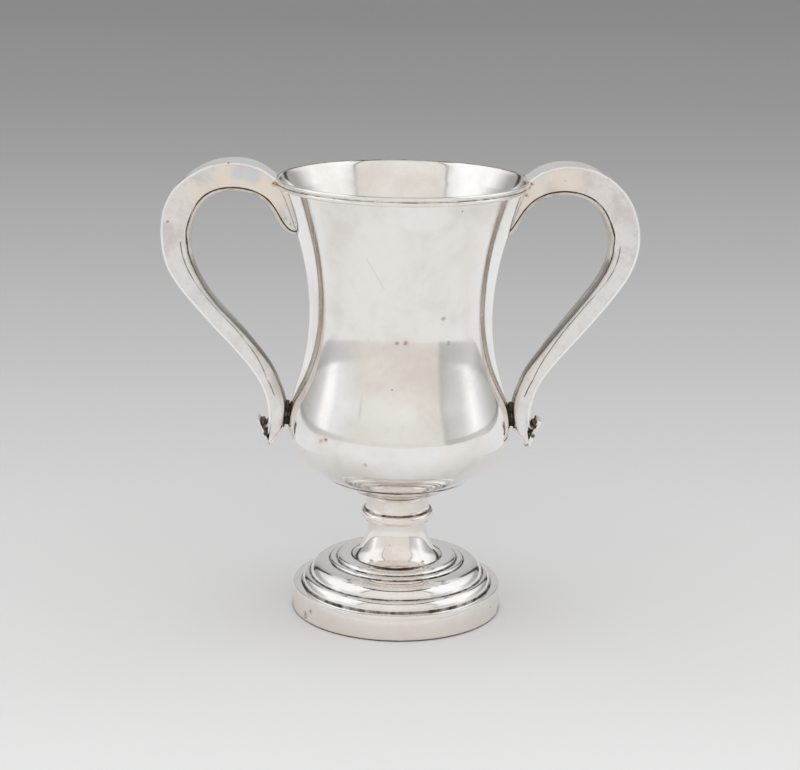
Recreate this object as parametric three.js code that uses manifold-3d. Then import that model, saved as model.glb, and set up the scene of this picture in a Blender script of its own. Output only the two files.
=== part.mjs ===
// Two-handled silver loving cup, in millimetres, +Z up.
// The origin is the middle of the foot's bottom edge, and the handles lie along X.
import * as THREE from 'three';
import { mergeVertices } from 'three/addons/utils/BufferGeometryUtils.js';
import Module from 'manifold-3d';

const wasm = await Module();
wasm.setup();

// Clearance that the solder fills between two pieces
const seamGap = 0.3;
const wireGap = 0.1;

// Foot: an upright band and a stepped sheet on top of it, from the edge inwards
const footRadius = 42.5;
const bandTaper = 0.5;
const bandWall = 1.4;
const bandHeight = 8.8;
const footGauge = 1.0;
const shelfRounding = 0.4;
const shelfWidth = 3.6;
const beadWidth = 3.1;
const beadRise = 3.2;
const domeWidth = 8.4;
const domeRise = 5.4;
const ridgeWidth = 2.8;
const ridgeRise = 0.9;
const ridgeStep = 0.8;
const footHoleRadius = 7.5;

// Stem, knop and spool
const stemFootRadius = 18.2;
const stemNeckRadius = 11.8;
const stemHeight = 17.6;
const stemWall = 1.2;
const knopRadius = 14.7;
const knopRounding = 1.1;
const knopHeight = 3.8;
const knopBoreRadius = 8.8;
const spoolFootRadius = 13.2;
const spoolWaistRadius = 12.7;
const spoolHeadRadius = 16.6;
const spoolHeight = 7.2;

// Dish soldered under the bowl
const dishHoleRadius = 8.8;
const dishFlatRadius = 17.5;
const dishTurnRadius = 21.9;
const dishTurnRise = 1.5;
const dishEdgeRadius = 29.0;
const dishEdgeRise = 6.7;
const dishGauge = 1.0;

// Bowl, with rises above its own floor
const bowlHeight = 126.3;
const bowlGauge = 1.2;
const floorRadius = 17.0;
const floorRise = 1.0;
const lowerRadius = 36.2;
const lowerRise = 11.1;
const bellyRadius = 44.7;
const bellyRise = 28.1;
const waistRadius = 36.5;
const waistRise = 70.6;
const neckRadius = 40.3;
const neckRise = 100.1;
const lipRadius = 48.7;
const lipBand = 2.8;
const lipRounding = 0.3;

// Wire round the lip
const wireThickness = 1.2;
const wireHeight = 3.6;
const wireProud = 0.2;
const wireCove = 0.6;

// Handles: the reach is from the slant line that joins belly and lip
const handleReach = 45.3;
const handleRise = 6.5;
const handleDrop = 9.7;
const handleDepth = 12.2;
const handleEndDepth = 6.4;
const handleHalfTop = 8.0;
const handleHalfEnd = 4.9;
const handleGauge = 1.0;
const strapBevel = 0.35;
const rollRadius = 2.2;
const rollTurn = 1.13;
const crownRise = 2.4;
const plateLength = 11.9;
const plateLean = 0.407;
const plateGauge = 1.1;
const plateCorner = 1.2;
const toeRise = 6.9;
const toeGauge = 0.8;
const lugDepth = 1.9;
const lugHalf = 1.8;
const lugHeight = 8.9;

// Fineness of the turned and of the bent pieces
const ringSegments = 36;
const handleSteps = 32;

const { lerp } = THREE.MathUtils;
const at = (x, y) => new THREE.Vector2(x, y);
const between = (from, to, across, up) => at(lerp(from.x, to.x, across), lerp(from.y, to.y, up));

// Solids for boolean cuts, without the flat triangles that a turned piece has on its axis
function toSolid(geometry) {
  const bare = geometry.clone();
  bare.deleteAttribute('normal');
  bare.deleteAttribute('uv');
  const merged = mergeVertices(bare, 1e-4);
  const triVerts = [];
  for (let i = 0; i < merged.index.count; i += 3) {
    const corners = [0, 1, 2].map((k) => merged.index.getX(i + k));
    if (new Set(corners).size === 3) triVerts.push(...corners);
  }
  return new wasm.Manifold(new wasm.Mesh({
    numProp: 3,
    vertProperties: new Float32Array(merged.attributes.position.array),
    triVerts: new Uint32Array(triVerts),
  }));
}

function toGeometry(solid) {
  const mesh = solid.getMesh();
  const geometry = new THREE.BufferGeometry();
  geometry.setAttribute('position', new THREE.BufferAttribute(new Float32Array(mesh.vertProperties), 3));
  geometry.setIndex(new THREE.BufferAttribute(new Uint32Array(mesh.triVerts), 1));
  geometry.computeVertexNormals();
  return geometry;
}

const cutFrom = (geometry, cutters) => toGeometry(
  cutters.reduce((solid, cutter) => solid.subtract(cutter), toSolid(geometry)));

// Turned pieces: a profile of radius and height, walked with the metal on its left
function turned(profile) {
  const lathe = new THREE.LatheGeometry(profile, ringSegments);
  lathe.rotateX(Math.PI / 2);
  return lathe;
}

const ring = (profile) => turned([...profile, profile[0].clone()]);
const smooth = (points, segments) => new THREE.SplineCurve(points).getPoints(segments);

function arc(centre, across, up, from, to, segments) {
  const curve = new THREE.EllipseCurve(centre.x, centre.y, across, up, from, to, to < from);
  return curve.getPoints(segments);
}

// The same line moved to its left by a gauge, or to its right by a negative one
function moved(points, gauge) {
  return points.map((point, i) => {
    const before = points[Math.max(i - 1, 0)];
    const after = points[Math.min(i + 1, points.length - 1)];
    const along = after.clone().sub(before).normalize();
    return at(point.x - along.y * gauge, point.y + along.x * gauge);
  });
}

// A tube of sheet metal with level ends
const tube = (outer, wall) => ring([...outer, ...outer.map((p) => at(p.x - wall, p.y)).reverse()]);

// Foot
const bandTop = footRadius - bandTaper;
const shelf = at(bandTop - shelfWidth, bandHeight + footGauge);
const groove = at(shelf.x - beadWidth, shelf.y + beadRise);
const domeTop = at(groove.x - domeWidth, groove.y + domeRise);
const step = at(domeTop.x - ridgeWidth, domeTop.y + ridgeStep);
const land = at(step.x - ridgeWidth, step.y + ridgeStep);

const footBand = ring([
  at(footRadius, 0),
  at(bandTop, bandHeight),
  at(bandTop - bandWall, bandHeight),
  at(footRadius - bandWall, 0),
]);

const bead = arc(at(groove.x, shelf.y), beadWidth, beadRise, 0.05, 1.32, 3);
const dome = smooth([
  between(groove, domeTop, 0.02, 0.02),
  between(groove, domeTop, 0.1, 0.34),
  between(groove, domeTop, 0.45, 0.72),
  between(groove, domeTop, 0.8, 0.96),
  domeTop,
], 5);
const ridge = (foot) => arc(at(foot.x - ridgeWidth / 2, foot.y), ridgeWidth / 2, ridgeRise, 0.5, 2.6, 2);

const footSteps = ring([
  at(bandTop, bandHeight),
  at(bandTop, shelf.y - shelfRounding),
  at(bandTop - shelfRounding, shelf.y),
  ...bead,
  ...dome,
  ...ridge(domeTop),
  ...ridge(step),
  land,
  at(footHoleRadius, land.y),
  at(footHoleRadius, land.y - footGauge),
  at(land.x, land.y - footGauge),
  at(domeTop.x, domeTop.y - footGauge),
  between(groove, domeTop, 0.5, 0.55),
  at(groove.x - footGauge, groove.y - footGauge),
  between(shelf, groove, 0.62, 0.46),
  at(shelf.x - footGauge, bandHeight),
]);

// Stem, a hollow trumpet on the foot's flat land
const stemFoot = at(stemFootRadius, land.y);
const stemNeck = at(stemNeckRadius, land.y + stemHeight);
const stem = tube([
  stemFoot,
  between(stemFoot, stemNeck, 0.36, 0.23),
  between(stemFoot, stemNeck, 0.66, 0.4),
  between(stemFoot, stemNeck, 0.94, 0.63),
  between(stemFoot, stemNeck, 1, 0.85),
  between(stemFoot, stemNeck, 0.97, 1),
], stemWall);

// Knop, a rounded ring between stem and spool
const knopMiddle = at(knopRadius - knopRounding, stemNeck.y + knopHeight / 2);
const knopTop = stemNeck.y + knopHeight;
const knop = ring([
  at(knopBoreRadius, stemNeck.y),
  ...arc(knopMiddle, knopRounding, knopHeight / 2, -Math.PI / 2, Math.PI / 2, 4),
  at(knopBoreRadius, knopTop),
]);

// Spool, a hollow waisted piece under the dish
const spoolWaist = at(spoolWaistRadius, knopTop + spoolHeight / 3);
const spoolHead = at(spoolHeadRadius, knopTop + spoolHeight);
const spool = tube([
  at(spoolFootRadius, knopTop),
  spoolWaist,
  between(spoolWaist, spoolHead, 0.28, 0.58),
  spoolHead,
], stemWall);

// Bowl, raised from one sheet with a waist above a low belly
const floor = spoolHead.y + dishGauge + seamGap;
const lipTop = floor + bowlHeight;
const floorEdge = at(floorRadius, floor + floorRise);
const lower = at(lowerRadius, floor + lowerRise);
const belly = at(bellyRadius, floor + bellyRise);
const waist = at(waistRadius, floor + waistRise);
const neck = at(neckRadius, floor + neckRise);
const lip = at(lipRadius, lipTop - lipBand);

const bowlOutside = [
  at(0, floor),
  between(at(0, floor), floorEdge, 0.6, 0.1),
  ...smooth([
    floorEdge,
    between(floorEdge, lower, 0.46, 0.4),
    lower,
    between(lower, belly, 0.74, 0.41),
    belly,
    between(belly, waist, 0.37, 0.33),
    between(belly, waist, 0.8, 0.63),
    waist,
    between(waist, neck, 0.43, 0.65),
    neck,
    between(neck, lip, 0.55, 0.61),
    lip,
  ], 17),
];

const bowl = turned([
  ...bowlOutside,
  at(lipRadius, lipTop - lipRounding),
  at(lipRadius - lipRounding, lipTop),
  at(lipRadius - bowlGauge + lipRounding, lipTop),
  at(lipRadius - bowlGauge, lipTop - lipRounding),
  ...moved(bowlOutside.slice(1), bowlGauge).reverse(),
  at(0, floor + bowlGauge),
]);

// Room that the pieces soldered to the bowl leave round it
const bowlRoom = toSolid(turned([
  at(0, floor - seamGap),
  ...moved(bowlOutside, -seamGap).slice(1),
  at(lipRadius + seamGap, lipTop),
  at(0, lipTop),
]));

// Dish, whose upper face follows the bowl
const dishFlat = at(dishFlatRadius, spoolHead.y);
const dishTurn = at(dishTurnRadius, spoolHead.y + dishTurnRise);
const dishEdge = at(dishEdgeRadius, spoolHead.y + dishEdgeRise);
const dish = cutFrom(ring([
  at(dishHoleRadius, spoolHead.y),
  dishFlat,
  between(dishFlat, dishTurn, 0.84, 0.45),
  dishTurn,
  between(dishTurn, dishEdge, 0.54, 0.46),
  dishEdge,
  at(dishEdgeRadius, lower.y),
  at(dishHoleRadius, lower.y),
]), [bowlRoom]);

// Wire round the lip: a bead over a cove over a smaller bead
const wireFoot = at(lipRadius + wireGap, lipTop + wireProud - wireHeight);
const rim = at(wireFoot.x + wireThickness, lipTop + wireProud);
const cove = at(rim.x - wireCove, rim.y);
const rimWire = ring([
  between(wireFoot, rim, 0.1, 0),
  between(wireFoot, rim, 0.55, 0.12),
  between(wireFoot, cove, 1.3, 0.28),
  between(wireFoot, cove, 1, 0.44),
  between(wireFoot, rim, 0.92, 0.6),
  between(wireFoot, rim, 1, 0.76),
  between(wireFoot, rim, 0.85, 0.94),
  between(wireFoot, rim, 0.5, 1),
  between(wireFoot, rim, 0, 0.96),
  between(wireFoot, rim, 0, 0.04),
]);

const bodyRoom = bowlRoom.add(toSolid(turned([
  at(0, wireFoot.y - seamGap),
  at(rim.x + seamGap, wireFoot.y - seamGap),
  at(rim.x + seamGap, rim.y + seamGap),
  at(0, rim.y + seamGap),
])));

// Edges of the handle on +X, as shares of its reach and of its height from the foot up
const strapSweep = [
  [-0.417, 0.913],
  [-0.228, 0.949],
  [-0.06, 0.983],
  [0.165, 1],
  [0.481, 0.98],
  [0.777, 0.915],
  [0.952, 0.824],
  [1, 0.739],
  [0.933, 0.635],
  [0.743, 0.531],
  [0.488, 0.426],
  [0.222, 0.319],
  [0.042, 0.233],
  [-0.028, 0.159],
];
const cheekEnd = [[-0.035, 0.094], [-0.005, 0.037], [0.035, -0.02]];
const strapEnd = [[-0.034, 0.102], [0.005, 0.078], [0.086, 0.096]];
const stripSweep = [
  [-0.381, 0.733],
  [-0.24, 0.754],
  [-0.094, 0.797],
  [0.053, 0.857],
  [0.419, 0.893],
  [0.742, 0.859],
  [0.932, 0.795],
  [0.995, 0.725],
  [0.944, 0.631],
  [0.727, 0.529],
  [0.449, 0.433],
  [0.193, 0.337],
  [0.047, 0.254],
  [-0.028, 0.184],
  [-0.031, 0.128],
  [-0.011, 0.085],
  [0.024, 0.028],
];

const handleFoot = at(bellyRadius, belly.y - handleDrop);
const handleHead = at(rim.x, lipTop + handleRise);

function edgeCurve(sweep, nearest, farthest) {
  return new THREE.SplineCurve(sweep.map(([out, up]) => {
    const slant = between(handleFoot, handleHead, up, up);
    return at(slant.x + lerp(nearest, farthest, out), slant.y);
  }));
}

const cheekEdge = edgeCurve([...strapSweep, ...cheekEnd], lugDepth + handleEndDepth, handleReach);
const strapEdge = edgeCurve([...strapSweep, ...strapEnd], lugDepth + handleEndDepth, handleReach);
const stripEdge = edgeCurve(stripSweep, lugDepth, handleReach - handleDepth);

// A long piece is drawn as a section, x inwards from the outer edge and y across the handle,
// and extruded. Each point is then carried to its place by the nearer of the two edges.
function bent(section, outerEdge) {
  const settings = { depth: 1, steps: handleSteps, bevelEnabled: false };
  const geometry = new THREE.ExtrudeGeometry(new THREE.Shape(section), settings);
  const points = geometry.attributes.position;
  for (let i = 0; i < points.count; i += 1) {
    const nearOuter = points.getX(i) < handleDepth / 2;
    const edge = nearOuter ? outerEdge : stripEdge;
    const inwards = nearOuter ? points.getX(i) : points.getX(i) - handleDepth;
    const spot = edge.getPoint(points.getZ(i));
    const along = edge.getTangent(points.getZ(i));
    const x = spot.x + along.y * inwards;
    const z = spot.y - along.x * inwards;
    const height = (z - handleFoot.y) / (handleHead.y - handleFoot.y);
    const narrowing = handleHalfTop - lerp(handleHalfEnd, handleHalfTop, height);
    const across = points.getY(i);
    const share = Math.min(1, Math.abs(across) * 2 / handleHalfTop);
    points.setXYZ(i, x, across - Math.sign(across) * narrowing * share, z);
  }
  geometry.computeVertexNormals();
  return geometry;
}

// Sections: a strap outside, two cheeks whose inner edges roll over, and a crowned strip inside
const cheekStart = handleGauge + seamGap;
const rollEnd = Math.PI / 2 - rollTurn;
const rollCentre = at(
  handleDepth - crownRise - rollRadius * Math.cos(rollEnd),
  handleHalfTop - rollRadius,
);
const rollInside = rollRadius - handleGauge;
const stripSide = at(handleDepth - crownRise, rollCentre.y + rollRadius * Math.sin(rollEnd) - seamGap);

function crown(side, rise, segments) {
  const radius = (side.y * side.y + rise * rise) / (2 * rise);
  const spread = Math.asin(side.y / radius);
  return arc(at(side.x + rise - radius, 0), radius, radius, spread, -spread, segments);
}

const strapSection = [
  at(0, strapBevel - handleHalfTop),
  at(strapBevel, -handleHalfTop),
  at(handleGauge, -handleHalfTop),
  at(handleGauge, handleHalfTop),
  at(strapBevel, handleHalfTop),
  at(0, handleHalfTop - strapBevel),
];
const cheekSection = [
  at(cheekStart, handleHalfTop),
  ...arc(rollCentre, rollRadius, rollRadius, Math.PI / 2, rollEnd, 3),
  ...arc(rollCentre, rollInside, rollInside, rollEnd, Math.PI / 2, 2),
  at(cheekStart, handleHalfTop - handleGauge),
];
const stripInside = at(
  stripSide.x - handleGauge * Math.cos(rollEnd),
  stripSide.y - handleGauge * Math.sin(rollEnd),
);
const stripSection = [
  ...crown(stripSide, crownRise, 4),
  ...crown(stripInside, crownRise, 4).reverse(),
];
const stripRoomSection = [
  ...crown(at(stripSide.x, handleHalfTop), crownRise + seamGap, 6),
  at(rollCentre.x, -handleHalfTop),
  at(rollCentre.x, handleHalfTop),
];

// The plate leans outwards over the handle's foot, and the toe strip closes the foot below
const plateFoot = at(handleFoot.x + lugDepth + handleEndDepth - plateGauge, handleFoot.y);
const plateTip = at(
  plateFoot.x + plateLength * Math.sin(plateLean),
  plateFoot.y + plateLength * Math.cos(plateLean),
);
const toeTop = at(handleFoot.x + lugDepth, handleFoot.y + toeRise);

// A slab across the handle on a line in the X-Z plane, between two distances to the line's left
function slab(from, to, near, far, halfWidth) {
  const outline = [...moved([from, to], near), ...moved([to, from], -far)];
  const settings = { depth: halfWidth * 2, bevelEnabled: false };
  const geometry = new THREE.ExtrudeGeometry(new THREE.Shape(outline), settings);
  geometry.translate(0, 0, -halfWidth);
  geometry.rotateX(Math.PI / 2);
  return geometry;
}

// Room for a piece at the foot, with all that lies outside it
function roomBeyond(from, to, gauge) {
  const before = between(from, to, -1, -1);
  const after = between(from, to, 2, 2);
  return toSolid(slab(before, after, -handleDrop, gauge + seamGap, handleHalfTop));
}

const plateRoom = roomBeyond(plateFoot, plateTip, plateGauge);
const toeRoom = roomBeyond(toeTop, plateFoot, toeGauge);

function platePiece() {
  const outline = new THREE.Shape([
    at(plateCorner - handleHalfEnd, 0),
    at(handleHalfEnd - plateCorner, 0),
    at(handleHalfEnd, plateCorner),
    at(handleHalfEnd, plateLength - plateCorner),
    at(handleHalfEnd - plateCorner, plateLength),
    at(plateCorner - handleHalfEnd, plateLength),
    at(-handleHalfEnd, plateLength - plateCorner),
    at(-handleHalfEnd, plateCorner),
  ]);
  const geometry = new THREE.ExtrudeGeometry(outline, { depth: plateGauge, bevelEnabled: false });
  geometry.rotateX(Math.PI / 2);
  geometry.rotateZ(-Math.PI / 2);
  geometry.rotateY(plateLean);
  geometry.translate(plateFoot.x, 0, plateFoot.y);
  return geometry;
}

function lugPiece() {
  const length = lugDepth + crownRise;
  const block = new THREE.BoxGeometry(length, lugHalf * 2, lugHeight);
  block.translate(belly.x + length / 2, 0, toeTop.y + toeGauge + lugHeight / 2);
  return cutFrom(block, [bodyRoom, toSolid(bent(stripRoomSection, cheekEdge))]);
}

const mirrored = (section) => section.map((point) => at(point.x, -point.y));
const strap = cutFrom(bent(strapSection, strapEdge), [bodyRoom, plateRoom]);
const backCheek = cutFrom(bent(cheekSection, cheekEdge), [bodyRoom, plateRoom, toeRoom]);
const frontCheek = cutFrom(bent(mirrored(cheekSection), cheekEdge), [bodyRoom, plateRoom, toeRoom]);
const strip = cutFrom(bent(stripSection, cheekEdge), [bodyRoom, plateRoom, toeRoom]);
const toe = cutFrom(slab(toeTop, plateFoot, 0, toeGauge, handleHalfEnd), [plateRoom]);
const plate = platePiece();
const lug = lugPiece();

// Assembly
const silver = (color, roughness) => new THREE.MeshStandardMaterial({ color, roughness, metalness: 1 });

function addPiece(group, name, geometry, material) {
  const piece = new THREE.Mesh(geometry, material);
  piece.name = name;
  group.add(piece);
}

function handle(side, nearCheek, farCheek) {
  const group = new THREE.Group();
  addPiece(group, `${side}_outer_strip`, strap, silver(0xe0dcd5, 0.2));
  addPiece(group, `${side}_front_cheek`, nearCheek, silver(0xe2ddd7, 0.24));
  addPiece(group, `${side}_back_cheek`, farCheek, silver(0xe2ddd7, 0.24));
  addPiece(group, `${side}_inner_strip`, strip, silver(0xd8d2c8, 0.26));
  addPiece(group, `${side}_toe_strip`, toe, silver(0xcfc8bd, 0.3));
  addPiece(group, `${side}_terminal_plate`, plate, silver(0xdad5cc, 0.24));
  addPiece(group, `${side}_spacer_lug`, lug, silver(0x5a5348, 0.55));
  return group;
}

const cup = new THREE.Group();
addPiece(cup, 'bowl', bowl, silver(0xdedad4, 0.16));
addPiece(cup, 'rim_wire', rimWire, silver(0xd9d3c8, 0.2));
addPiece(cup, 'bowl_dish', dish, silver(0xd6d1c9, 0.22));
addPiece(cup, 'stem_spool', spool, silver(0xd4cec5, 0.22));
addPiece(cup, 'knop_ring', knop, silver(0xdbd6ce, 0.18));
addPiece(cup, 'stem', stem, silver(0xd9d3ca, 0.2));
addPiece(cup, 'foot_dome', footSteps, silver(0xd6d0c7, 0.22));
addPiece(cup, 'foot_band', footBand, silver(0xd2cbc3, 0.22));

const rightHandle = handle('right', frontCheek, backCheek);
const leftHandle = handle('left', backCheek, frontCheek);
leftHandle.rotation.z = Math.PI;
cup.add(rightHandle, leftHandle);

export default cup;
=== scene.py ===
from math import atan2, cos, degrees, hypot, pi, radians, sin

import bpy
import numpy as np
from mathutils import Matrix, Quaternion, Vector


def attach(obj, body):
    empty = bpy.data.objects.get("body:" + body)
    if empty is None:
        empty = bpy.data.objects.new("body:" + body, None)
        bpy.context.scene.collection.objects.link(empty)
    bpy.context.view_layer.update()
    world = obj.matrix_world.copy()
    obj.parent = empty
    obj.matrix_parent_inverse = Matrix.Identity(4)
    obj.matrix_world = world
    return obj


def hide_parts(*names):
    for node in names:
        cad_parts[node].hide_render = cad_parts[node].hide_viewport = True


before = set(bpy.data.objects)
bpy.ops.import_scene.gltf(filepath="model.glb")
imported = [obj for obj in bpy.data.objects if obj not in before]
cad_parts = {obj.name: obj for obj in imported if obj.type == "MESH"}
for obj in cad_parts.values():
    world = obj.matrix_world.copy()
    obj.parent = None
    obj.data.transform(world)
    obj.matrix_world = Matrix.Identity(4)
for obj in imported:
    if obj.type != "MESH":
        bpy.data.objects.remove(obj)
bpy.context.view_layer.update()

mm = 0.001
turnSteps = 180  # round a turned piece
smoothAngle = radians(35)


def freshSelection():
    if bpy.context.object and bpy.context.object.mode != "OBJECT":
        bpy.ops.object.mode_set(mode="OBJECT")
    bpy.ops.object.select_all(action="DESELECT")


def workOn(piece):
    freshSelection()
    piece.select_set(True)
    bpy.context.view_layer.objects.active = piece


# a curve without kinks through given points; even=True gives every span the same share
def lineThrough(points, perSpan, even=False):
    spots = np.array(points, float)
    gaps = np.ones(len(spots) - 1) if even else np.hypot(*(spots[1:] - spots[:-1]).T)
    system = np.eye(len(spots))
    target = np.zeros_like(spots)
    for i in range(1, len(spots) - 1):
        system[i, i - 1:i + 2] = gaps[i - 1], 2 * (gaps[i - 1] + gaps[i]), gaps[i]
        target[i] = 6 * ((spots[i + 1] - spots[i]) / gaps[i] - (spots[i] - spots[i - 1]) / gaps[i - 1])
    bends = np.linalg.solve(system, target)
    line = []
    for i, gap in enumerate(gaps):
        for t in np.arange(perSpan) / perSpan:
            s = 1 - t
            bend = gap ** 2 / 6 * ((s ** 3 - s) * bends[i] + (t ** 3 - t) * bends[i + 1])
            line.append(s * spots[i] + t * spots[i + 1] + bend)
    line.append(spots[-1])
    return [tuple(p) for p in line]


# the line moved to its left by a gauge
def movedLine(line, gauge):
    moved = []
    for i, (x, y) in enumerate(line):
        x0, y0 = line[max(i - 1, 0)]
        x1, y1 = line[min(i + 1, len(line) - 1)]
        length = hypot(x1 - x0, y1 - y0)
        moved.append((x - (y1 - y0) / length * gauge, y + (x1 - x0) / length * gauge))
    return moved


def arcLine(centre, across, up, start, end, count):
    turns = [radians(start + (end - start) * i / count) for i in range(count + 1)]
    return [(centre[0] + across * cos(t), centre[1] + up * sin(t)) for t in turns]


# joins up the piece in hand, turns its faces outwards and smooths all but its edges
def closeUp():
    bpy.ops.object.mode_set(mode="EDIT")
    bpy.ops.mesh.select_all(action="SELECT")
    bpy.ops.mesh.remove_doubles(threshold=1e-6)
    bpy.ops.mesh.dissolve_degenerate(threshold=1e-7)
    bpy.ops.mesh.normals_make_consistent(inside=False)
    bpy.ops.object.mode_set(mode="OBJECT")
    bpy.ops.object.transform_apply(location=True, rotation=True, scale=True)
    bpy.ops.object.shade_smooth_by_angle(angle=smoothAngle)


# an outline of radius and height in mm is drawn out from one point, then spun round the cup's axis
def turnPiece(name, outline):
    freshSelection()
    bpy.ops.mesh.primitive_plane_add(size=mm, location=(0, 0, 0))
    piece = bpy.context.object
    piece.name = piece.data.name = name
    bpy.ops.object.mode_set(mode="EDIT")
    bpy.ops.mesh.select_all(action="SELECT")
    bpy.ops.mesh.merge(type="CENTER")
    bpy.ops.transform.translate(value=(outline[0][0] * mm, 0, outline[0][1] * mm))
    for (r0, z0), (r1, z1) in zip(outline, outline[1:]):
        bpy.ops.mesh.extrude_region_move(TRANSFORM_OT_translate={"value": ((r1 - r0) * mm, 0, (z1 - z0) * mm)})
    bpy.ops.mesh.select_all(action="SELECT")
    bpy.ops.mesh.spin(steps=turnSteps, angle=2 * pi, center=(0, 0, 0), axis=(0, 0, 1))
    closeUp()
    return piece


def ringPiece(name, outline):
    return turnPiece(name, outline + outline[:1])


def takePlace(piece, node):
    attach(piece, "root")
    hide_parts(node)


print("tools ready")

# bowl, rim wire and dish: every outline is (radius, height) in mm

bowlSizes = {
    "wall": 1.2,
    "floor": 49.9,
    "floorEdge": (10.2, 50.0),
    "lipTop": 176.2,
    "lipRadius": 48.7,
    "lipEase": (0.1, 0.15),
    "lipStarts": 166,
    "outside": [(17.0, 50.9), (25.8, 55.0), (31.2, 57.5), (36.2, 61.0), (40.9, 65.5), (43.9, 71.0), (44.7, 78.0),
                (43.7, 85.0), (41.1, 94.0), (38.6, 103.0), (37.1, 112.0), (36.5, 121.0), (36.85, 130.0),
                (38.15, 140.0), (40.3, 150.0), (43.3, 160.0), (47.0, 170.0), (48.7, 173.8)],
    "lipInside": [(44.8, 168.3), (46.2, 171.6), (47.3, 174.1), (48.05, 175.6), (48.35, 176.05)],
}
bowlOutside = [bowlSizes["floorEdge"]] + lineThrough(bowlSizes["outside"], 6)
wall, lipTop, lipRadius, floorLevel = (bowlSizes[key] for key in ("wall", "lipTop", "lipRadius", "floor"))
easeIn, easeDown = bowlSizes["lipEase"]
bowlInside = [spot for spot in movedLine(bowlOutside, wall) if spot[1] < bowlSizes["lipStarts"]]
bowlInside += lineThrough(bowlSizes["lipInside"], 4)
bowlLip = [(lipRadius, lipTop - easeDown), (lipRadius - easeIn, lipTop)]
bowl = turnPiece("bowl_raised", [(0, floorLevel)] + bowlOutside + bowlLip + bowlInside[::-1]
                 + [(0, floorLevel + wall)])
takePlace(bowl, "bowl")

rimSizes = {
    "innerFace": [(48.75, 176.3), (48.75, 172.9)],
    "outline": [(48.9, 172.8), (49.25, 173.0), (49.5, 173.4), (49.5, 173.8), (49.38, 174.15), (49.32, 174.45),
                (49.45, 174.75), (49.8, 175.05), (49.98, 175.45), (49.9, 175.9), (49.6, 176.25), (49.2, 176.4)],
}
rimWire = ringPiece("rim_moulding", lineThrough(rimSizes["outline"], 3) + rimSizes["innerFace"])
takePlace(rimWire, "rim_wire")

dishSizes = {
    "underside": [(15.6, 50.05), (17.9, 50.35), (18.8, 50.65), (19.3, 51.2), (20.6, 52.0), (23.2, 53.2),
                  (26.3, 54.5), (29.0, 55.9)],
    "topRadii": (29.3, 28.0, 26.0, 24.0, 22.0, 20.0, 18.0),
    "under": 0.06,
    "innerEdge": [(10.2, 49.9), (8.8, 49.85), (8.8, 49.55)],
    "bowlBelow": 64,
}
bowlRadii, bowlHeights = np.array([spot for spot in bowlOutside if spot[1] < dishSizes["bowlBelow"]]).T
dishTop = [(r, float(np.interp(r, bowlRadii, bowlHeights)) - dishSizes["under"]) for r in dishSizes["topRadii"]]
dishInner = dishSizes["innerEdge"]
dishUnder = lineThrough(dishSizes["underside"], 5)
dish = ringPiece("bowl_dish_raised", dishInner[-1:] + dishUnder + dishTop + dishInner[:-1])
takePlace(dish, "bowl_dish")
print("bowl, rim and dish turned")

# stem and foot

stemSizes = {
    "wall": 1.2,
    "spool": [(13.3, 41.4), (12.8, 42.5), (12.7, 44.0), (12.8, 45.7), (13.1, 47.3), (14.0, 48.9), (15.8, 50.02)],
    "knop": ((13.6, 39.5), 1.1, 1.9),  # centre, half its thickness, half its height
    "knopBore": [(8.8, 37.6), (8.8, 41.4)],
    "trumpet": [(18.3, 21.6), (17.4, 22.15), (16.6, 22.75), (15.85, 23.45), (15.05, 24.4), (14.2, 25.9),
                (13.35, 27.9), (12.6, 30.2), (12.05, 32.7), (11.85, 35.2), (12.1, 37.6)],
}


def sheetTube(name, outside, gauge):
    return ringPiece(name, outside + [(r - gauge, z) for r, z in outside][::-1])


spool = sheetTube("spool_turned", lineThrough(stemSizes["spool"], 6), stemSizes["wall"])
takePlace(spool, "stem_spool")
knopCentre, knopAcross, knopUp = stemSizes["knop"]
boreLow, boreHigh = stemSizes["knopBore"]
knop = ringPiece("knop_turned", [boreLow] + arcLine(knopCentre, knopAcross, knopUp, -90, 90, 20) + [boreHigh])
takePlace(knop, "knop_ring")
stem = sheetTube("stem_turned", lineThrough(stemSizes["trumpet"], 6), stemSizes["wall"])
takePlace(stem, "stem")

footSizes = {
    "shelf": [(42.0, 8.8), (42.0, 10.1), (41.94, 10.28), (41.8, 10.38), (41.6, 10.42), (39.2, 10.36),
              (38.6, 10.28)],
    "bead": [(38.5, 10.4), (38.35, 11.6), (37.75, 12.9), (36.75, 13.9), (35.5, 14.35)],
    "dome": [(35.1, 14.5), (34.8, 15.6), (34.15, 16.8), (33.0, 18.0), (31.4, 18.85), (29.4, 19.35),
             (28.0, 19.5), (27.3, 19.45)],
    "ridges": [(27.1, 19.45), (26.95, 20.0), (26.3, 20.5), (25.4, 20.6), (24.6, 20.35), (24.3, 20.35),
               (24.05, 20.8), (23.4, 21.45), (22.5, 21.8), (21.2, 21.85), (19.6, 21.7), (18.6, 21.6)],
    "stemSeat": [(18.3, 21.58), (7.5, 21.58)],
    "underside": [(7.5, 20.6), (22.0, 20.6), (24.2, 19.4), (27.0, 19.0), (31.2, 17.9), (33.7, 15.5),
                  (34.7, 13.5), (36.6, 12.3), (37.4, 8.8)],
}
footOutline = footSizes["shelf"] + lineThrough(footSizes["bead"], 5) + lineThrough(footSizes["dome"], 5)
footOutline += lineThrough(footSizes["ridges"], 4) + footSizes["stemSeat"] + footSizes["underside"]
footDome = ringPiece("foot_steps", footOutline)
takePlace(footDome, "foot_dome")
bandSizes = {
    "outer": (42.5, 42.0),  # at the table and at the top
    "wornEdge": [(-0.6, 0), (-0.2, 0.2), (0, 0.6)],
    "topEase": (0.02, 0.05),
    "wall": 1.4,
    "height": 8.8,
}
atTable, atTop = bandSizes["outer"]
bandTop, bandWall = bandSizes["height"], bandSizes["wall"]
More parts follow.
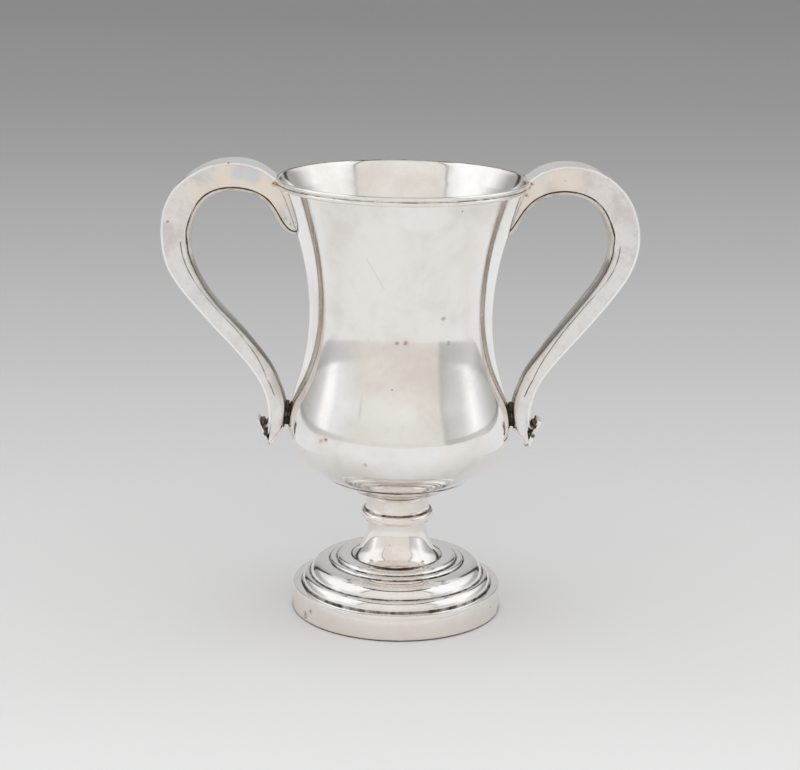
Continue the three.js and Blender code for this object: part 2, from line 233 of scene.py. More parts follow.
easeOut, easeDown = bandSizes["topEase"]
bandOutline = [(atTable + r, z) for r, z in bandSizes["wornEdge"]]
bandOutline += [(atTop + easeOut, bandTop - easeDown), (atTop, bandTop)]
bandOutline += [(atTop - bandWall, bandTop), (atTable - bandWall, 0)]
footBand = ringPiece("foot_band_ring", bandOutline)
takePlace(footBand, "foot_band")
print("stem and foot turned")

# handles: places are (out from the axis, height) in mm; each side has its own bent edges

handleSizes = {
    "right": {
        "strapEdge": [
            (38.5, 163.0), (42.9, 171.9), (49.4, 177.3), (58.04, 181.8), (72.96, 181.31), (86.0, 172.6),
            (91.6, 162.3), (92.9, 152.8), (90.3, 141.3), (82.9, 129.4), (73.2, 117.1), (62.9, 104.9),
            (55.8, 94.9), (52.9, 86.5),
        ],
        "stripEdge": [
            (38.6, 152.3), (43.2, 155.6), (46.9, 161.2), (53.4, 168.4), (64.6, 170.6), (74.2, 167.0),
            (79.1, 159.8), (81.4, 151.0), (79.5, 140.9), (72.2, 129.4), (63.0, 117.6), (55.0, 106.9),
            (49.6, 98.9), (46.1, 90.4),
        ],
    },
    "left": {
        "strapEdge": [
            (38.5, 163.0), (43.0, 171.6), (49.7, 176.7), (58.17, 181.55), (73.04, 181.57), (87.0, 173.4),
            (93.0, 163.0), (93.75, 152.8), (91.5, 140.9), (83.7, 128.9), (73.4, 116.9), (62.8, 104.9),
            (55.7, 94.9), (52.7, 86.5),
        ],
        "stripEdge": [
            (38.0, 153.8), (44.2, 154.5), (48.9, 159.6), (54.4, 167.4), (64.6, 170.8), (74.9, 168.4),
            (80.4, 160.4), (82.4, 151.0), (80.5, 140.6), (73.5, 128.4), (63.4, 117.2), (54.8, 106.9),
            (49.6, 98.9), (46.2, 90.4),
        ],
    },
    "cheekTail": [(52.1, 79.0), (52.9, 72.5), (54.2, 66.0)],
    "strapTail": [(52.2, 80.0), (53.5, 77.2), (56.7, 79.3)],
    "stripTail": [(45.0, 85.0), (45.4, 79.5), (46.6, 72.5)],
    "depth": 12.2,
    "halfTop": 8.0,  # half the width, from cheek to cheek
    "halfEnd": 4.9,
    "low": 68.3,
    "high": 182.7,
    "gauge": 1.0,
    "strapSeam": 0.02,
    "stripSeam": 0.36,
    "crown": 0.6,
    "rollFromAt": ([0, 6.6, 7.0, 8, 9, 10, 11, 12, 13, 14], [1.1, 1.1, 3.7, 2.7, 1.5, 1.5, 2.4, 3.9, 3.6, 2.4]),
    "rollAcrossAt": ([0, 6.6, 7.0, 9, 11, 16], [0.5, 0.5, 1.6, 1.2, 2.0, 2.0]),
    "creaseAt": ([6.95, 7.0, 9, 11, 12.8, 13.05], [0, 0.16, 0.12, 0.12, 0.26, 0]),
    "creaseHalf": 0.34,
    "creaseFullShade": 0.12,
    "edgeRound": 0.45,
    "seamAt": ([0, 6.6, 8.2, 9, 16], [-1.7, -1.7, 0.1, 0.5, 0.5]),
    "perSpan": 9,
}
half, gauge, depth, lowEnd, highEnd = (handleSizes[key] for key in ("halfTop", "gauge", "depth", "low", "high"))


def inwardNormals(line):
    normals = []
    for i in range(len(line)):
        x0, z0 = line[max(i - 1, 0)]
        x1, z1 = line[min(i + 1, len(line) - 1)]
        length = hypot(x1 - x0, z1 - z0)
        normals.append(((z1 - z0) / length, -(x1 - x0) / length))
    return normals


# a sheet is wrapped round its sections (mm in from the outer edge, mm across) and led along the two edges
def sweepPiece(name, sectionAt, outside, inside):
    stations, count = len(outside) - 1, len(sectionAt(0))
    sections = [sectionAt(i / handleSizes["perSpan"]) for i in range(stations + 1)]
    freshSelection()
    bpy.ops.mesh.primitive_grid_add(x_subdivisions=stations, y_subdivisions=count, size=2)
    piece = bpy.context.object
    piece.name = piece.data.name = name
    outNormals, inNormals = inwardNormals(outside), inwardNormals(inside)
    soilAndShadeValues = []
    for vertex in piece.data.vertices:
        i = round((vertex.co.x + 1) / 2 * stations)
        inwards, across, *soilAndShade = sections[i][round((vertex.co.y + 1) / 2 * count) % count]
        soilAndShadeValues.append(soilAndShade[0] if soilAndShade else 0.0)
        if inwards < depth / 2:
            (x, z), (nx, nz), step = outside[i], outNormals[i], inwards
        else:
            (x, z), (nx, nz), step = inside[i], inNormals[i], inwards - depth
        x, z = x + nx * step, z + nz * step
        narrowing = (half - handleSizes["halfEnd"]) * (highEnd - z) / (highEnd - lowEnd)
        across -= narrowing * max(-1, min(1, across * 2 / half))
        vertex.co = (x * mm, across * mm, z * mm)
    piece.data.attributes.new("soilAndShade", "FLOAT", "POINT").data.foreach_set("value", soilAndShadeValues)
    bpy.ops.object.mode_set(mode="EDIT")
    bpy.ops.mesh.select_all(action="SELECT")
    bpy.ops.mesh.remove_doubles(threshold=1e-6)
    bpy.ops.mesh.select_all(action="DESELECT")
    bpy.ops.mesh.select_non_manifold(extend=False)
    bpy.ops.mesh.edge_face_add()
    closeUp()
    return piece


def cutBy(piece, cutter):
    workOn(piece)
    cut = piece.modifiers.new("cut", "BOOLEAN")
    cut.operation, cut.solver, cut.object = "DIFFERENCE", "EXACT", cutter
    bpy.ops.object.modifier_apply(modifier=cut.name)


# cuts away all that lies beyond a plane across the handle's foot
def trimFoot(piece, spot, outward):
    workOn(piece)
    mesh, below = piece.data, tailSizes["trimBelow"] * mm
    for polygon in mesh.polygons:
        polygon.select = polygon.center.z < below
    for edge in mesh.edges:
        edge.select = all(mesh.vertices[v].co.z < below for v in edge.vertices)
    for vertex in mesh.vertices:
        vertex.select = vertex.co.z < below
    bpy.ops.object.mode_set(mode="EDIT")
    bpy.ops.mesh.bisect(plane_co=(spot[0] * mm, 0, spot[1] * mm), plane_no=(outward[0], 0, outward[1]),
                        use_fill=True, clear_outer=True, threshold=1e-7)
    bpy.ops.object.mode_set(mode="OBJECT")


edgeRound, cheekStart = handleSizes["edgeRound"], gauge + handleSizes["strapSeam"]
rollSteps = 12


# the strap is the same all along: flat, with its two outer edges rounded
def strapSection(spot):
    frontEdge = arcLine((edgeRound, -half + edgeRound), edgeRound, edgeRound, 180, 270, 5)
    backEdge = arcLine((edgeRound, half - edgeRound), edgeRound, edgeRound, 90, 180, 5)
    innerFace = [(gauge, half * k / 4) for k in range(-4, 5)]
    return frontEdge + innerFace + backEdge + [(0, half * k / 4) for k in range(3, -4, -1)]


# the handle's side at this span: flat, rolled over towards the inside, then crowned as far as the middle
def sideShape(spot):
    start, across, crease, seam = (float(np.interp(spot, *handleSizes[key]))
                                   for key in ("rollFromAt", "rollAcrossAt", "creaseAt", "seamAt"))
    rollFrom, crown = depth - start, handleSizes["crown"]
    roll = arcLine((rollFrom, half - across), start - crown, across, 90, 0, rollSteps)
    width = half - across
    radius = (width ** 2 + crown ** 2) / (2 * crown)
    spread = degrees(atan2(width, radius - crown))
    middle = arcLine((depth - radius, 0), radius, radius, spread, 0, 14)
    line = np.array([(cheekStart, half)] + roll + middle[1:])
    walked = np.concatenate([[0], np.cumsum(np.hypot(*(line[1:] - line[:-1]).T))])
    return line, walked, walked[rollSteps + 1] + seam, rollFrom, crease


def walkLine(line, walked, start, end, count):
    steps = np.linspace(start, end, count)
    return list(zip(*(np.interp(steps, walked, line[:, k]).tolist() for k in (0, 1))))


def mirrored(section):
    return [(inwards, -across, soilAndShade) for inwards, across, soilAndShade in section]


# a third number is the soil and painted shade: 1 in a tarnished seam, and in a crease or hidden face as painted
# shade; 0 on clean sheet
def cheekSection(spot):
    line, walked, seam, rollFrom, crease = sideShape(spot)
    creaseX, creaseHalf = min(rollFrom, cheekStart + seam - 1.0), handleSizes["creaseHalf"]
    creaseEnd = creaseX - cheekStart + creaseHalf
    rolled = walkLine(line, walked, creaseEnd, seam - handleSizes["stripSeam"] / 2, 16)
    reachIn = max(0.5, min(1.3, (seam - creaseX + cheekStart) * 0.5))
    soiledAndShaded = []
    for i, (x, y) in enumerate(rolled):
        left = (seam - creaseEnd) * (1 - i / (len(rolled) - 1))
        soiledAndShaded.append((x, y, max(0, 1 - left / reachIn)))
    lastX, lastY = rolled[-1]
    # the crease's painted shade grows with the crease's depth
    cornerX, creaseShade = min(lastX - 0.5, depth - 1.9), min(1, crease / handleSizes["creaseFullShade"])
    flat = [(cheekStart, half, 0.5), (cheekStart + 0.25, half, 0.1), (cheekStart + 0.6, half, 0)]
    creased = [(creaseX - creaseHalf * 2.4, half, 0), (creaseX - creaseHalf, half, creaseShade * 0.45),
               (creaseX, half - crease, creaseShade)]
    # the hidden inner faces carry painted shade
    hidden = [(lastX - 0.3, lastY - 0.25, 1), (cornerX, min(lastY - 0.3, half - gauge), 0.5),
              (cheekStart, half - gauge, 0.3)]
    return flat + creased + soiledAndShaded + hidden


def backCheekSection(spot):
    return mirrored(cheekSection(spot))


def stripSection(spot):
    line, walked, seam, rollFrom, crease = sideShape(spot)
    rolledBy = walked[rollSteps + 1] + 0.6
    outer = walkLine(line, walked, seam + handleSizes["stripSeam"] / 2, rolledBy, 10)[:-1]
    outer += walkLine(line, walked, rolledBy, walked[-1], 9)
    outer = [(x, y, max(0, 1 - 0.5 * i)) for i, (x, y) in enumerate(outer)]
    firstX, firstY = outer[0][:2]
    innerX = depth - handleSizes["crown"] - gauge
    innerY = min(firstY, half - gauge) - 0.3
    # the hidden inner faces carry painted shade
    inner = [(firstX, firstY - 0.45, 1), (innerX, innerY, 0.5), (innerX, innerY / 2, 0.3)]
    return outer + mirrored(outer[:-1])[::-1] + mirrored(inner) + [(innerX, 0, 0.3)] + inner[::-1]


# the outside of bowl and rim, which is cut away from the handles
bodyCut = {
    "bottom": [(0, 60.0), (36.25, 61.0)],
    "heights": (61.0, 172.6),
    "room": 0.05,
    "rimAndTop": [(48.9, 172.7), (49.55, 173.3), (49.55, 173.9), (49.4, 174.45), (49.85, 175.0), (50.05, 175.45),
                  (49.95, 175.95), (49.6, 176.35), (48.0, 176.5), (0, 176.5)],
}
cutFrom, cutTo = bodyCut["heights"]
bowlPart = [(r + bodyCut["room"], z) for r, z in bowlOutside if cutFrom < z < cutTo]
bodyShape = turnPiece("body_cutter", bodyCut["bottom"] + bowlPart + bodyCut["rimAndTop"])

# the handle's foot: a leaning plate, a toe strip under it, the lug on the belly and old solder behind the plate
tailSizes = {
    "plateLean": 0.407,
    "plateFoot": (51.9, 68.3),
    "plateTip": (56.6, 79.2),
    "plateWall": 0.6,
    "plateAcross": 9.8,
    "plateCorner": 1.2,
    "toeTop": (45.8, 76.2),
    "toeWall": 0.8,
    "toeAcross": 9.7,
    "edge": 0.15,
    "trimBelow": 90,
    # the lug and the solder lump both wear the near-black lug finish: tarnish with painted shade of the crevices
    # they fill
    "lug": {"size": (4.2, 3.2, 10.0), "place": (45.9, 81.3), "lean": 0, "edgeRounding": 0.4,
            "cornerRound": 0.8, "lumps": 0.8},
    "solder": {"size": (1.7, 9.3, 5.2), "place": (54.0, 75.7), "lean": 0.2849, "edgeRounding": 0.25, "lumps": 0.3},
}
lumpSizes = {"voxel": 0.22, "spacing": 2.6}
plateFoot, plateTip, plateWall = tailSizes["plateFoot"], tailSizes["plateTip"], tailSizes["plateWall"]
toeTop, toeWall = tailSizes["toeTop"], tailSizes["toeWall"]
plateOut = (cos(tailSizes["plateLean"]), -sin(tailSizes["plateLean"]))
toeLength = hypot(plateFoot[0] - toeTop[0], plateFoot[1] - toeTop[1])
toeOut = (-(toeTop[1] - plateFoot[1]) / toeLength, -(plateFoot[0] - toeTop[0]) / toeLength)


# a place moved back from a plane by a step
def backFrom(place, outward, step):
    return place[0] - outward[0] * step, place[1] - outward[1] * step


def halfWay(first, second):
    return (first[0] + second[0]) / 2, (first[1] + second[1]) / 2


plateInside, toeInside = backFrom(plateFoot, plateOut, plateWall), backFrom(toeTop, toeOut, toeWall)
plateLength = hypot(plateTip[0] - plateFoot[0], plateTip[1] - plateFoot[1])
toeLean = -atan2(plateFoot[0] - toeTop[0], toeTop[1] - plateFoot[1])
plateBlock = {"size": (plateWall, tailSizes["plateAcross"], plateLength), "lean": tailSizes["plateLean"],
              "place": backFrom(halfWay(plateFoot, plateTip), plateOut, plateWall / 2),
              "edgeRounding": tailSizes["edge"], "cornerRound": tailSizes["plateCorner"]}
toeBlock = {"size": (toeWall, tailSizes["toeAcross"], toeLength), "lean": toeLean,
            "place": backFrom(halfWay(toeTop, plateFoot), toeOut, toeWall / 2), "edgeRounding": tailSizes["edge"]}


# a small block is shaped from a cube by its corner rounding, then leaned and placed
def blockPiece(name, size, place, lean, edgeRounding, cornerRound=0, lumps=0):
    freshSelection()
    bpy.ops.mesh.primitive_cube_add(size=mm, location=(0, 0, 0))
    piece = bpy.context.object
    piece.name = piece.data.name = name
    bpy.ops.object.mode_set(mode="EDIT")
    bpy.ops.mesh.select_all(action="SELECT")
    bpy.ops.transform.resize(value=size)
    bpy.ops.object.mode_set(mode="OBJECT")
    for edge in piece.data.edges:
        a, b = (piece.data.vertices[v].co for v in edge.vertices)
        edge.select = abs(a.x - b.x) > 1e-6
    for polygon in piece.data.polygons:
        polygon.select = False
    bpy.ops.object.mode_set(mode="EDIT")
    bpy.ops.mesh.select_mode(type="EDGE")
    if cornerRound:
        bpy.ops.mesh.bevel(offset=cornerRound * mm, segments=6, affect="EDGES")
    bpy.ops.object.mode_set(mode="OBJECT")
    soften = piece.modifiers.new("soften", "BEVEL")
    soften.width, soften.segments = edgeRounding * mm, 3
    soften.limit_method, soften.angle_limit = "ANGLE", radians(40)
    bpy.ops.object.modifier_apply(modifier=soften.name)
    if lumps:
        finer = piece.modifiers.new("finer", "REMESH")
        finer.mode, finer.voxel_size = "VOXEL", lumpSizes["voxel"] * mm
        bpy.ops.object.modifier_apply(modifier=finer.name)
        solder = bpy.data.textures.new("solder_lumps", "CLOUDS")
        solder.noise_scale = lumpSizes["spacing"] * mm
        lumpy = piece.modifiers.new("lumpy", "DISPLACE")
        lumpy.texture, lumpy.strength, lumpy.mid_level = solder, lumps * mm, 0.6
        bpy.ops.object.modifier_apply(modifier=lumpy.name)
    piece.rotation_euler = (0, lean, 0)
    piece.location = (place[0] * mm, 0, place[1] * mm)
    closeUp()
    return piece


handlePieces = {}
for side in ("right", "left"):
    edges = handleSizes[side]
    cheekOutside, strapOutside, stripInside = (
        lineThrough(edges[edge] + handleSizes[tail], handleSizes["perSpan"], even=True)
        for edge, tail in (("strapEdge", "cheekTail"), ("strapEdge", "strapTail"), ("stripEdge", "stripTail")))
    # both handles are made on +X; the left one is turned half round afterwards, which swaps its cheeks
    positiveCheek, negativeCheek = ("back_cheek", "front_cheek")[::1 if side == "right" else -1]
    made = {
        "outer_strip": sweepPiece(side + "_strap", strapSection, strapOutside, stripInside),
        positiveCheek: sweepPiece(side + "_bent_" + positiveCheek, cheekSection, cheekOutside, stripInside),
        negativeCheek: sweepPiece(side + "_bent_" + negativeCheek, backCheekSection, cheekOutside, stripInside),
        "inner_strip": sweepPiece(side + "_crowned_strip", stripSection, cheekOutside, stripInside),
    }
    for node, piece in made.items():
        cutBy(piece, bodyShape)
        trimFoot(piece, plateInside, plateOut)
        if node != "outer_strip":
            trimFoot(piece, toeInside, toeOut)
    made["terminal_plate"] = blockPiece(side + "_plate", **plateBlock)
    made["toe_strip"] = blockPiece(side + "_toe", **toeBlock)
    trimFoot(made["toe_strip"], plateInside, plateOut)
    made["spacer_lug"] = blockPiece(side + "_lug", **tailSizes["lug"])
    made["tail_solder"] = blockPiece(side + "_tail_solder", **tailSizes["solder"])
    for node, piece in made.items():
        workOn(piece)
        closeUp()
        if side == "left":
            bpy.ops.transform.rotate(value=pi, orient_axis="Z", center_override=(0, 0, 0))
            bpy.ops.object.transform_apply(location=True, rotation=True, scale=True)
        # the lug and the solder lump are dark with tarnish and painted shade
        slot = "tarnished_silver" if node in ("spacer_lug", "tail_solder") else "handle_silver"
        takePlace(piece, side + "_" + node.replace("tail_solder", "terminal_plate"))
        handlePieces[side + "_" + node] = piece
bpy.data.objects.remove(bodyShape)
print("handles made")


# the silver's paint is worked out line by line: sockets are linked and numbers are set
def calc(tree, operation, *terms, clamp=False):
    node = tree.nodes.new("ShaderNodeMath")
    node.operation, node.use_clamp = operation, clamp
    for i, term in enumerate(terms):
        if isinstance(term, (int, float)):
            node.inputs[i].default_value = term
        else:
            tree.links.new(term, node.inputs[i])
    return node.outputs[0]


# the same with places
def vectorCalc(tree, operation, first, second):
    node = tree.nodes.new("ShaderNodeVectorMath")
    node.operation = operation
    for socket, term in zip(node.inputs, (first, second)):
        if isinstance(term, Vector):
            socket.default_value = term
        else:
            tree.links.new(term, socket)
    return node.outputs["Value" if operation in ("DOT_PRODUCT", "DISTANCE") else "Vector"]


def times(tree, first, second):
    return calc(tree, "MULTIPLY", first, second)


def plus(tree, *terms):
    total = terms[0]
    for term in terms[1:]:
        total = calc(tree, "ADD", total, term)
    return total


def lengthOf(tree, across, along):
    return calc(tree, "SQRT", plus(tree, times(tree, across, across), times(tree, along, along)))


def setInputs(node, numbers):
    for name, number in numbers.items():
        node.inputs[name].default_value = number


# smoothly from low at start to high at end
def fade(tree, value, start, end, low=0.0, high=1.0):
    node = tree.nodes.new("ShaderNodeMapRange")
    node.interpolation_type = "SMOOTHSTEP"
    tree.links.new(value, node.inputs["Value"])
    setInputs(node, {"From Min": start, "From Max": end, "To Min": low, "To Max": high})
    return node.outputs["Result"]


# colours along a value: stops are (value, (r, g, b)) or (value, grey)
def colorLine(tree, value, stops):
    first, last = stops[0][0], stops[-1][0]
    spread = tree.nodes.new("ShaderNodeMapRange")
    setInputs(spread, {"From Min": first, "From Max": last})
    tree.links.new(value, spread.inputs["Value"])
    ramp = tree.nodes.new("ShaderNodeValToRGB")
    tree.links.new(spread.outputs["Result"], ramp.inputs["Fac"])
    elements = ramp.color_ramp.elements
    while len(elements) < len(stops):
        elements.new(0.5)
    for element, (place, color) in zip(elements, stops):
        element.position = (place - first) / (last - first)
        element.color = (*color, 1) if isinstance(color, tuple) else (color, color, color, 1)
    return ramp.outputs["Color"]


def blendColors(tree, factor, first, second):
    node = tree.nodes.new("ShaderNodeMix")
    node.data_type = "RGBA"
    for socket, term in ((node.inputs["Factor"], factor), (node.inputs[6], first), (node.inputs[7], second)):
        if isinstance(term, (int, float)):
            socket.default_value = term
        elif isinstance(term, tuple):
            socket.default_value = (*term, 1)
        else:
            tree.links.new(term, socket)
    return node.outputs[2]


# bearing round the cup in degrees, 0 towards the front, positive towards the right
def bearing(tree, x, y):
    return times(tree, calc(tree, "ARCTAN2", x, times(tree, y, -1)), degrees(1))


def noiseAt(tree, place, scale, detail=3, roughness=0.5, distortion=0.0):
    node = tree.nodes.new("ShaderNodeTexNoise")
    setInputs(node, {"Scale": scale, "Detail": detail, "Roughness": roughness, "Distortion": distortion})
    tree.links.new(place, node.inputs["Vector"])
    return node.outputs["Fac"]


def movedPlace(tree, place, shift=(0, 0, 0), turn=(0, 0, 0), stretch=(1, 1, 1)):
    node = tree.nodes.new("ShaderNodeMapping")
    tree.links.new(place, node.inputs["Vector"])
    setInputs(node, {"Location": shift, "Rotation": [radians(t) for t in turn], "Scale": stretch})
    return node.outputs["Vector"]


def strongest(tree, values):
    result = values[0]
    for value in values[1:]:
        result = calc(tree, "MAXIMUM", result, value)
    return result


# 1 near a place given in mm, 0 beyond the reach, with a ragged edge
def spotAt(tree, place, ragged, centre, reach):
    away = vectorCalc(tree, "DISTANCE", place, Vector(centre) * mm)
    uneven = times(tree, calc(tree, "SUBTRACT", ragged, 0.5), reach * 1.6 * mm)
    return fade(tree, plus(tree, away, uneven), reach * 0.45 * mm, reach * 1.1 * mm, 1, 0)


# a tint laid over a colour where the mask is 1, at a given strength
def stain(tree, color, mask, strength, tint):
    return blendColors(tree, times(tree, mask, strength), color, tint)


# 1 along a straight scratch, 0 beyond its width
def scratchAt(tree, place, ragged, start, end, width):
    first, along = Vector(start) * mm, (Vector(end) - Vector(start)) * mm
    walked = vectorCalc(tree, "DOT_PRODUCT", vectorCalc(tree, "SUBTRACT", place, first), along)
    share = calc(tree, "DIVIDE", walked, along.length_squared, clamp=True)
    nearest = tree.nodes.new("ShaderNodeVectorMath")
    nearest.operation = "SCALE"
    nearest.inputs[0].default_value = along
    tree.links.new(share, nearest.inputs["Scale"])
    away = vectorCalc(tree, "DISTANCE", place, vectorCalc(tree, "ADD", nearest.outputs["Vector"], first))
    uneven = times(tree, ragged, width * 1.6 * mm)
    return fade(tree, plus(tree, away, uneven), width * 0.6 * mm, width * 1.7 * mm, 1, 0)


# 1 on a circle round the cup's axis, 0 beyond the reach
def circleAt(tree, radius, height, circleRadius, level, reach):
    aside = calc(tree, "SUBTRACT", radius, circleRadius * mm)
    above = calc(tree, "SUBTRACT", height, level * mm)
    return fade(tree, lengthOf(tree, aside, above), reach * 0.3 * mm, reach * mm, 1, 0)


# grooves: rings darkened with tarnish and painted shade, as radius, height and reach in mm; spots, solder and cool:
# place and reach in mm
# scratches: from, to and width in mm; wave, dent and grain: relief in mm
solderTint, coolTint = (0.94, 0.85, 0.73), (0.72, 0.76, 0.80)
tintStrength = {"solder": 0.75, "cool": 0.8, "pit": 0.7, "spot": 0.85, "scratch": 0.5}
spotLook = {"share": 0.72, "heart": (0.72, 1.0, 0, 0.8)}  # share of the reach that shows, and the dark middle
pitLook = {"scale": 240, "hole": (0.05, 0.10), "chosen": (0.90, 0.93), "depth": 0.05}
# reach and limits of the AO that paints shade into corners
cornerShadeLook = {"reach": 1.6, "limits": (0.30, 0.82)}
wipeLines = {"scale": 1500, "limits": (0.66, 0.74), "stretch": (1, 0.02, 0.02), "depth": 0.004, "dulling": 0.10,
             "turns": [((20, 35, 0), 0.0), ((-50, 10, 70), 0.4), ((75, -25, 20), 0.9)]}
grimeAndShadeDulling = 0.35
# noise: scale, detail, roughness and distortion; limits: where the pattern fades in
# the first three are scaled by the finish's cloudScale
patterns = {
    "clouds": {"noise": (1, 6, 0.62, 0.4), "limits": (0.46, 0.66)},
    "bloom": {"noise": (0.8, 5, 0.6, 0.6), "shift": (0.3, 0.1, 0.7), "limits": (0.50, 0.68)},
    "mottle": {"noise": (6, 6, 0.7), "shift": (0.5, 0, 0), "limits": (0.48, 0.70)},
    "ragged": {"noise": (900, 3, 0.6)},
    "wipedAreas": {"noise": (55, 2, 0.5), "shift": (0, 0.8, 0), "limits": (0.48, 0.62)},
    "spotGrain": {"noise": (1400, 3, 0.7), "limits": (0.36, 0.60)},
    "wiping": {"noise": (170, 4, 0.65), "shift": (0, 0, 0.6), "limits": (0.36, 0.62)},
    "worn": {"noise": (120, 4, 0.6), "shift": (0.1, 0.4, 0.3), "limits": (0.34, 0.60)},
    "crumbs": {"noise": (480, 3, 0.7), "shift": (0.2, 0.5, 0), "limits": (0.40, 0.62)},
    "wave": {"noise": (20, 2, 0.4)},
    "dent": {"noise": (95, 2, 0.4), "shift": (0.9, 0.2, 0)},
}
